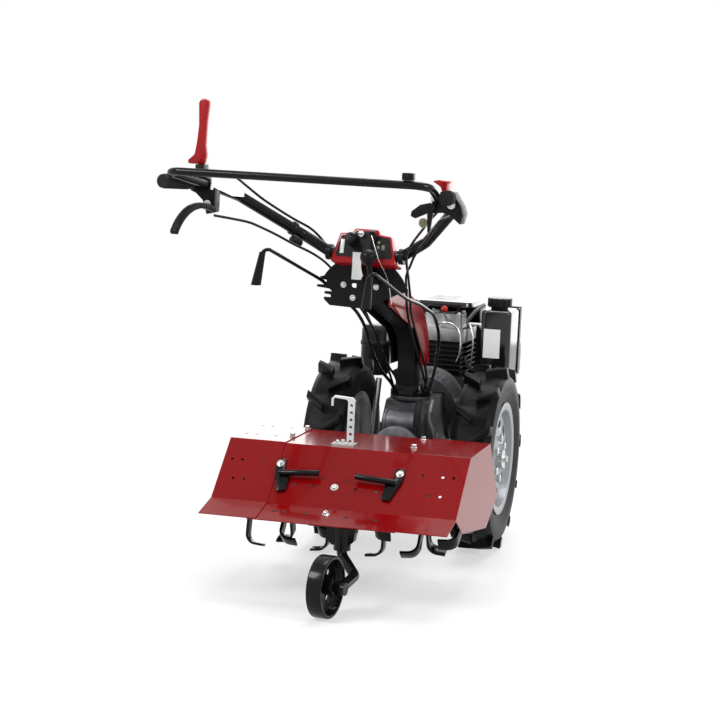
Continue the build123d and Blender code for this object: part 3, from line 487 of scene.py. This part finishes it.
# %% Bolts of the handlebars
facing_back = SWING @ Vector((0, -1, 0))
bar_copies = []
for x, z in ((-79, 821), (-50, 786), (18, 821)):
    bar_copies.append(stand(small_bolt, swung(x, -500, z), facing_back, x))
for x, y, z in ((-318, -941, 1050), (-346, -941, 1104), (352, -931, 1088)):
    bar_copies.append(stand(hood_bolt, swung(x, y, z), facing_back, x))
joined(bar_copies, "handlebar_bolts", zinc, "handlebar")

# %% [markdown]
# Four bolts hold the rocker cover on the engine and four hold the gear casting's rear cover.
# They are the same small bolt, turned up on one cover and back on the other.

# %% Bolts of the covers
cover_bolts = []
for x, y in ((-26, 248), (70, 248), (-26, 320), (70, 320)):
    cover_bolts.append(stand(small_bolt, at(x, y, 682), (0, 0, 1), x))
case_bolts = []
for x, z in ((-50, 348), (50, 348), (-50, 288), (50, 288)):
    case_bolts.append(stand(small_bolt, at(x, -215, z), (0, -1, 0), x))
joined(cover_bolts + case_bolts, "case_bolts", zinc, "chassis")

for pattern in (small_bolt, hood_bolt, wheel_bolt):
    bpy.data.objects.remove(pattern)

# %% [markdown]
# The rubber grips are ribbed so that wet hands hold them. A rib is a thin ring round the grip.
# Rings are copied along the grip's axis and joined. A bump could fake them, but the ribs show
# on the grip's outline.

# %% Ribs on the grips
RIB_COUNT = 13
RIB_PITCH = 8
FIRST_RIB = 6

ribs = []
for side in (-1, 1):
    start = Vector((side * 384, -1085, 1112))
    front = Vector((side * 340, -900, 1104))
    way = (front - start).normalized()
    for number in range(RIB_COUNT):
        centre = start + way * (FIRST_RIB + number * RIB_PITCH)
        clear()
        bpy.ops.mesh.primitive_torus_add(major_radius=0.0178, minor_radius=0.0018, major_segments=36,
                                         minor_segments=8)
        rib = bpy.context.object
        rib.matrix_world = facing(swung(*centre), SWING @ way)
        ribs.append(rib)
joined(ribs, "grip_ribs", black_rubber, "handlebar")

# %% [markdown]
# Hoses, pipes and thin rods are round bars along a line of points. A curve with a round bevel follows
# such a line with even bends, and it is turned into a mesh once it is right.

# %% Lay a hose or a rod along points
def laid(name, points, radius, paint, body):
    clear()
    line = bpy.data.curves.new(name, "CURVE")
    line.dimensions = "3D"
    line.bevel_depth = radius
    line.bevel_resolution = 4
    line.use_fill_caps = True
    route = line.splines.new("NURBS")
    route.points.add(len(points) - 1)
    for spot, point in zip(route.points, points):
        spot.co = (*point, 1)
    route.use_endpoint_u = True
    route.order_u = 3
    route.resolution_u = 10
    piece = bpy.data.objects.new(name, line)
    bpy.context.collection.objects.link(piece)
    pick(piece)
    bpy.ops.object.convert(target="MESH")
    return settle(bpy.context.object, name, paint, body, angle=50)


# %% [markdown]
# Behind the gear casting two rubber hoses and a bent drain pipe come down beside the turret.
# On the handlebars a thin rod joins the throttle lever to the gate plate.

# %% Hoses and pipe by the turret, rod on the handlebars
laid("hose_inner",
     [at(44, -150, 456), at(46, -188, 440), at(46, -192, 390), at(48, -188, 330), at(48, -160, 300)],
     0.005, black_rubber, "chassis")
laid("hose_outer",
     [at(56, -150, 456), at(58, -186, 440), at(58, -190, 390), at(60, -186, 336), at(62, -160, 310)],
     0.005, black_rubber, "chassis")
laid("drain_pipe",
     [at(80, -120, 455), at(88, -172, 450), at(84, -174, 404), at(100, -172, 374), at(108, -166, 338),
      at(100, -150, 300)],
     0.006, grey_casting, "chassis")
laid("throttle_rod",
     [swung(28, -592, 972), swung(46, -596, 924), swung(56, -590, 895), swung(56, -530, 860),
      swung(60, -506, 826), swung(68, -506, 776)],
     0.0014, zinc, "handlebar")

# %% [markdown]
# The engine's own plumbing shows from behind: the steel injection pipe and the thin return pipe
# between pump, head and tank, the rubber fuel hose, and the strap that holds the tank.

# %% Pipes of the engine
laid("injection_pipe",
     [at(12, 226, 650), at(14, 208, 658), at(62, 206, 658), at(88, 206, 628), at(90, 206, 560),
      at(76, 214, 536)],
     0.0032, zinc, "chassis")
laid("tank_strap",
     [at(104, 212, 664), at(122, 207, 690), at(146, 207, 716), at(158, 216, 722)],
     0.006, grey_casting, "chassis")
laid("return_pipe",
     [at(120, 226, 520), at(128, 215, 590), at(122, 220, 640), at(96, 250, 664), at(70, 262, 682)],
     0.003, zinc, "chassis")
laid("fuel_hose",
     [at(152, 240, 520), at(136, 205, 508), at(112, 200, 530), at(104, 212, 556)],
     0.005, black_rubber, "chassis")

# %% [markdown]
# Knobs, caps and clamps are short turned bars with a rounded edge. A cylinder is a bare start,
# and the bevel gives it the moulded rim. Its place comes as a matrix, and its size in millimetres.

# %% Turn a short bar
def turned(radius, depth, place, edge_share=0.2, vertices=32):
    clear()
    bpy.ops.mesh.primitive_cylinder_add(vertices=vertices, radius=radius / 1000, depth=depth / 1000)
    made = bpy.context.object
    soft_edge(made, min(radius, depth) * edge_share / 1000, 3)
    made.matrix_world = place
    return made


# %% [markdown]
# The console carries a black rotary switch, a key, small buttons and a blank pale strip.
# They sit on the plane of its face, which leans forward. Points on that face are given by
# how far right and how far up they lie, and how far they stand off.

# %% The face of the console
FACE_LEAN = radians(14)
face_turn = SWING.to_4x4() @ Matrix.Rotation(radians(90) - FACE_LEAN, 4, "X")


def on_face(x, up, lift):
    y = -576 + up * sin(FACE_LEAN) - lift * cos(FACE_LEAN)
    return Matrix.Translation(swung(x, y, 888 + up * cos(FACE_LEAN) + lift * sin(FACE_LEAN))) @ face_turn


def knob(radius, depth, x, up, lift):
    return turned(radius, depth, on_face(x, up, lift + depth / 2), edge_share=0.22, vertices=28)


def plate(width, height, thick, x, up, lift):
    clear()
    bpy.ops.mesh.primitive_cube_add(size=1)
    made = bpy.context.object
    made.scale = (width / 1000, height / 1000, thick / 1000)
    pick(made)
    bpy.ops.object.transform_apply(location=True, rotation=True, scale=True)
    soft_edge(made, thick / 3000, 2)
    made.matrix_world = on_face(x, up, lift + thick / 2)
    return made


# %% [markdown]
# The switch is a wide base, a tall stem and a wing to turn it by. The key has a collar and a thin bow.

# %% Switches on the console
joined([knob(16, 20, -38, 70, 3), knob(12, 40, -34, 60, 3), plate(10, 34, 26, -37, 64, 3)],
       "rotary_switch", black_plastic, "handlebar")
joined([knob(9, 8, -11, 84, 3), plate(16, 3, 16, -11, 84, 8)], "key", zinc, "handlebar")
joined([plate(8, 8, 2, 42, 64, 3), plate(8, 8, 2, 42, 50, 3), plate(9, 14, 2, 56, 50, 3)],
       "buttons", olive_cap, "handlebar")
joined([plate(11, 40, 1, -64, 48, 3)], "blank_strip", label_white, "handlebar")

# %% [markdown]
# The tank has a blank white label on its rear face. It is a thin plate, left without words.

# %% The label on the tank
clear()
bpy.ops.mesh.primitive_cube_add(size=1, location=at(188, 199.6, 603))
label = bpy.context.object
label.scale = (0.052, 0.0008, 0.090)
settle(label, "tank_label", label_white, "chassis")

# %% [markdown]
# Small trim on the engine and the hitch: a red ball knob on its stem, and the sleeve with two collars
# that joins the tiller to the gear casting.

# %% Red knob and hitch sleeve
SLEEVE_AXIS = (1, 0, 0)

clear()
bpy.ops.mesh.primitive_uv_sphere_add(segments=28, ring_count=16, radius=0.011, location=at(32, 206, 700))
joined([bpy.context.object], "red_knob", red_plastic, "chassis")
laid("knob_stem", [at(32, 206, 694), at(34, 212, 680), at(36, 232, 664)], 0.004, zinc, "chassis")
joined([turned(30.5, 92, facing(at(-6, -153, 392), SLEEVE_AXIS)),
        turned(34, 8, facing(at(-50, -153, 392), SLEEVE_AXIS)),
        turned(34, 8, facing(at(36, -153, 392), SLEEVE_AXIS))],
       "hitch_sleeve", grey_casting, "chassis")

# %% [markdown]
# Small trim on the handlebars: an olive cap on the right tube, and the clamp that hangs
# a cable joint below the left tube. The clamp's ring is turned along that tube.

# %% Olive cap and tube clamp
joined([turned(12, 24, facing(swung(250, -834, 1031), SWING @ Vector((0.3, -1, 0.2))))],
       "olive_cap", olive_cap, "handlebar")
tube_way = SWING @ Vector((125, 167, -104)).normalized()
joined([turned(19.5, 16, facing(swung(-200, -599, 977), tube_way)),
        turned(12, 34, facing(swung(-188, -606, 942), tube_way))],
       "tube_clamp", black_plastic, "handlebar")

# %% [markdown]
# The picture is taken behind the machine, a little to its right, with a long lens.
# The camera's place and lens were found from the size of the tyres, the hood and the bars.

# %% Camera
YAW, PITCH, ROLL = 0.2523, 0.1254, 0.0447
CAMERA_PLACE = (1.4792 + 0.07325, -6.4339 + 0.3250, 1.3841)
FOCAL_PIXELS = 2186.49
PICTURE_PIXELS = 720

forward = Vector((-sin(YAW) * cos(PITCH), cos(YAW) * cos(PITCH), -sin(PITCH)))
right = forward.cross(Vector((0, 0, 1))).normalized()
up = right.cross(forward)
rolled_right = cos(ROLL) * right + sin(ROLL) * up
rolled_up = cos(ROLL) * up - sin(ROLL) * right
eye = bpy.data.cameras.new("photo camera")
camera = bpy.data.objects.new("photo camera", eye)
bpy.context.collection.objects.link(camera)
axes = Matrix((rolled_right, rolled_up, -forward)).transposed().to_4x4()
camera.matrix_world = Matrix.Translation(CAMERA_PLACE) @ axes
eye.sensor_width = 36
eye.lens = FOCAL_PIXELS / PICTURE_PIXELS * eye.sensor_width
bpy.context.scene.camera = camera
print("lens", round(eye.lens, 1), "mm")

# %% [markdown]
# A white studio can flood the machine with light. So the surround and the far floor are white only
# for the rays that look at them: from the camera, in a reflection or through glass.

# %% The rays that see the white surround
def sight(tree):
    rays = tree.nodes.new("ShaderNodeLightPath")
    shown = rays.outputs["Is Camera Ray"]
    for kind in ("Is Glossy Ray", "Is Transmission Ray"):
        larger = tree.nodes.new("ShaderNodeMath")
        larger.operation = "MAXIMUM"
        tree.links.new(shown, larger.inputs[0])
        tree.links.new(rays.outputs[kind], larger.inputs[1])
        shown = larger.outputs[0]
    return shown


# %% [markdown]
# The floor keeps the machine's soft shadow. Near the wheels it is a pale floor that is partly lit,
# and it fades to plain white by its distance from the middle, so that no edge of it shows.

# %% Floor
NEAR, FAR = 0.8, 3.2
NEAR_WHITE, FAR_WHITE = 0.55, 1.0

clear()
bpy.ops.mesh.primitive_plane_add(size=60, location=(0, 0, 0))
floor = bpy.context.object
floor.name = "floor"
floor_paint = finish("pale floor", (0.86, 0.86, 0.86), 0.6)
tree = floor_paint.node_tree
glow = tree.nodes.new("ShaderNodeEmission")
glow.inputs["Color"].default_value = (1, 1, 1, 1)
glow.inputs["Strength"].default_value = 1.0
spot_on_floor = tree.nodes.new("ShaderNodeTexCoord")
reach = tree.nodes.new("ShaderNodeVectorMath")
reach.operation = "LENGTH"
fade = tree.nodes.new("ShaderNodeMapRange")
fade.inputs["From Min"].default_value = NEAR
fade.inputs["From Max"].default_value = FAR
fade.inputs["To Min"].default_value = NEAR_WHITE
fade.inputs["To Max"].default_value = FAR_WHITE
share = tree.nodes.new("ShaderNodeMath")
share.operation = "MULTIPLY"
blend = tree.nodes.new("ShaderNodeMixShader")
tree.links.new(spot_on_floor.outputs["Object"], reach.inputs[0])
tree.links.new(reach.outputs["Value"], fade.inputs["Value"])
tree.links.new(sight(tree), share.inputs[0])
tree.links.new(fade.outputs["Result"], share.inputs[1])
tree.links.new(share.outputs[0], blend.inputs[0])
tree.links.new(tree.nodes["Principled BSDF"].outputs[0], blend.inputs[1])
tree.links.new(glow.outputs[0], blend.inputs[2])
tree.links.new(blend.outputs[0], tree.nodes["Material Output"].inputs[0])
floor.data.materials.append(floor_paint)
print("floor laid")

# %% [markdown]
# The world gives a weak even light, and shows white to the rays that look at it.

# %% Surround
world = bpy.data.worlds.new("studio")
bpy.context.scene.world = world
world.use_nodes = True
sky = world.node_tree
ambient = sky.nodes["Background"]
ambient.inputs["Color"].default_value = (0.96, 0.98, 1.0, 1)
ambient.inputs["Strength"].default_value = 0.22
seen = sky.nodes.new("ShaderNodeBackground")
seen.inputs["Color"].default_value = (1, 1, 1, 1)
seen.inputs["Strength"].default_value = 1.0
choice = sky.nodes.new("ShaderNodeMixShader")
sky.links.new(sight(sky), choice.inputs[0])
sky.links.new(ambient.outputs[0], choice.inputs[1])
sky.links.new(seen.outputs[0], choice.inputs[2])
sky.links.new(choice.outputs[0], sky.nodes["World Output"].inputs[0])
print("surround", world.name)

# %% [markdown]
# Four large soft lamps light the machine: a key from the left, a fill from the right, one overhead,
# and a wide card in front of it whose reflection makes the hood's flat top nearly white.

# %% Lamps
LAMPS = (
    ("key", (-2.6, -3.2, 3.6), 1.6, 150),
    ("fill", (3.6, -1.4, 2.4), 1.4, 90),
    ("top", (0.2, 0.9, 4.2), 2.4, 130),
    ("front card", (0.4, 4.6, 1.5), 8.0, 150),
)
LAMP_AIM = Vector((0, -0.1, 0.5))
TALLEST_LAMP = 3.0

for name, place, wide, power in LAMPS:
    light = bpy.data.lights.new(name, "AREA")
    light.shape = "RECTANGLE"
    light.size = wide
    light.size_y = min(wide, TALLEST_LAMP)
    light.energy = power
    lamp = bpy.data.objects.new(name, light)
    bpy.context.collection.objects.link(lamp)
    aim = (LAMP_AIM - Vector(place)).to_track_quat("-Z", "Y").to_matrix().to_4x4()
    lamp.matrix_world = Matrix.Translation(place) @ aim
    print(name, "lamp of", power, "W")

bpy.context.scene.view_settings.view_transform = "Standard"

# %% [markdown]
# At the end nothing is left selected. The dressed machine has to stay inside the CAD model's
# box.

# %% Finish
clear()
